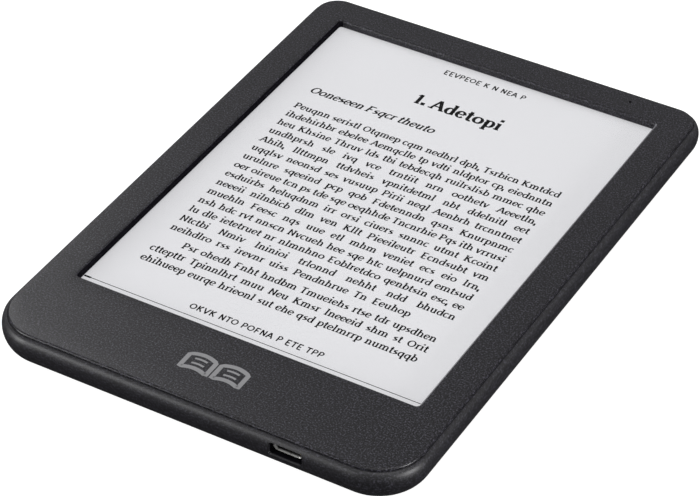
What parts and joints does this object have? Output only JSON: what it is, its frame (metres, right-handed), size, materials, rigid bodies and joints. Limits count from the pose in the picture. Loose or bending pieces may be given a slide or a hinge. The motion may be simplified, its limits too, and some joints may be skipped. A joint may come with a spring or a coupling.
{
  "type": "e-reader",
  "caption": "Slim handheld e-paper reader with a sunken screen in a matt front frame, a rounded rear cover, a charging socket in the lower edge and a push button in the upper edge.",
  "frame": {"origin": "centre of the flat back, under the middle of the body's outline", "axes": "+X to the reader's right, +Y towards the top edge, +Z out of the screen"},
  "size_m": [0.1124, 0.1592, 0.0092],
  "materials": {
    "frame_plastic": "fine moulded grain",
    "cover_plastic": "fine moulded grain",
    "button_plastic": "satin",
    "plated_steel": "bright plated",
    "switch_plastic": "moulded",
    "black_plastic": "moulded",
    "gold_contact": "gold plated",
    "clear_plastic": "clear",
    "led_plastic": "moulded lens",
    "circuit_board": "solder mask",
    "flex_film": "polyimide film",
    "connector_plastic": "moulded",
    "foam": "closed-cell foam",
    "screen_film": "anti-glare",
    "page_film": "paper-like",
    "panel_glass": "polished",
    "chip_black": "moulded epoxy",
    "tape": "adhesive film",
    "frame_alloy": "die cast",
    "screw_steel": "zinc plated",
    "ferrite": "sintered",
    "capacitor_ceramic": "fired ceramic",
    "cable_jacket": "moulded",
    "pouch_foil": "laminated foil"
  },
  "bodies": {
    "housing": {"front_bezel": "frame_plastic", "rear_cover": "cover_plastic", "power_switch_body": "plated_steel", "usb_shell": "plated_steel", "usb_tongue": "black_plastic", "usb_contacts": "gold_contact", "indicator_light_pipe": "clear_plastic", "indicator_led": "led_plastic", "switch_board": "circuit_board", "switch_flex": "flex_film", "switch_connector": "connector_plastic", "screen_gasket": "foam", "touch_panel": "screen_film", "light_guide": "clear_plastic", "front_light_strip": "flex_film", "front_leds": "led_plastic", "display_film": "page_film", "display_glass": "panel_glass", "display_driver_chip": "chip_black", "display_flex": "flex_film", "touch_flex": "flex_film", "display_adhesive": "tape", "mid_frame": "frame_alloy", "frame_screws": "screw_steel", "main_board": "circuit_board", "board_screws": "screw_steel", "processor": "chip_black", "memory_chip": "chip_black", "shield_can": "plated_steel", "power_chip": "chip_black", "panel_power_chip": "chip_black", "power_inductors": "ferrite", "board_capacitors": "capacitor_ceramic", "clock_crystals": "plated_steel", "card_socket": "plated_steel", "storage_card": "black_plastic", "wifi_module": "plated_steel", "antenna_cable": "cable_jacket", "antenna_flex": "flex_film", "hall_sensor": "chip_black", "display_connector": "connector_plastic", "touch_connector": "connector_plastic", "light_connector": "connector_plastic", "battery_cell": "pouch_foil", "battery_board": "circuit_board", "battery_cable": "cable_jacket", "battery_plug": "switch_plastic", "battery_socket": "connector_plastic", "battery_adhesive": "tape"},
    "power_button": {"power_button": "button_plastic"},
    "switch_plunger": {"power_switch_plunger": "switch_plastic"}
  },
  "joints": [
    {"name": "button_press", "type": "slide", "parent": "housing", "child": "power_button", "axis": [0, -1, 0], "range_m": [0, 0.00025], "stiffness_N_per_m": 4000},
    {"name": "plunger_press", "type": "slide", "parent": "housing", "child": "switch_plunger", "axis": [0, -1, 0], "range_m": [0, 0.00025]}
  ],
  "couplings": [
    {"joint": "plunger_press", "follows": "button_press", "ratio": 1}
  ]
}
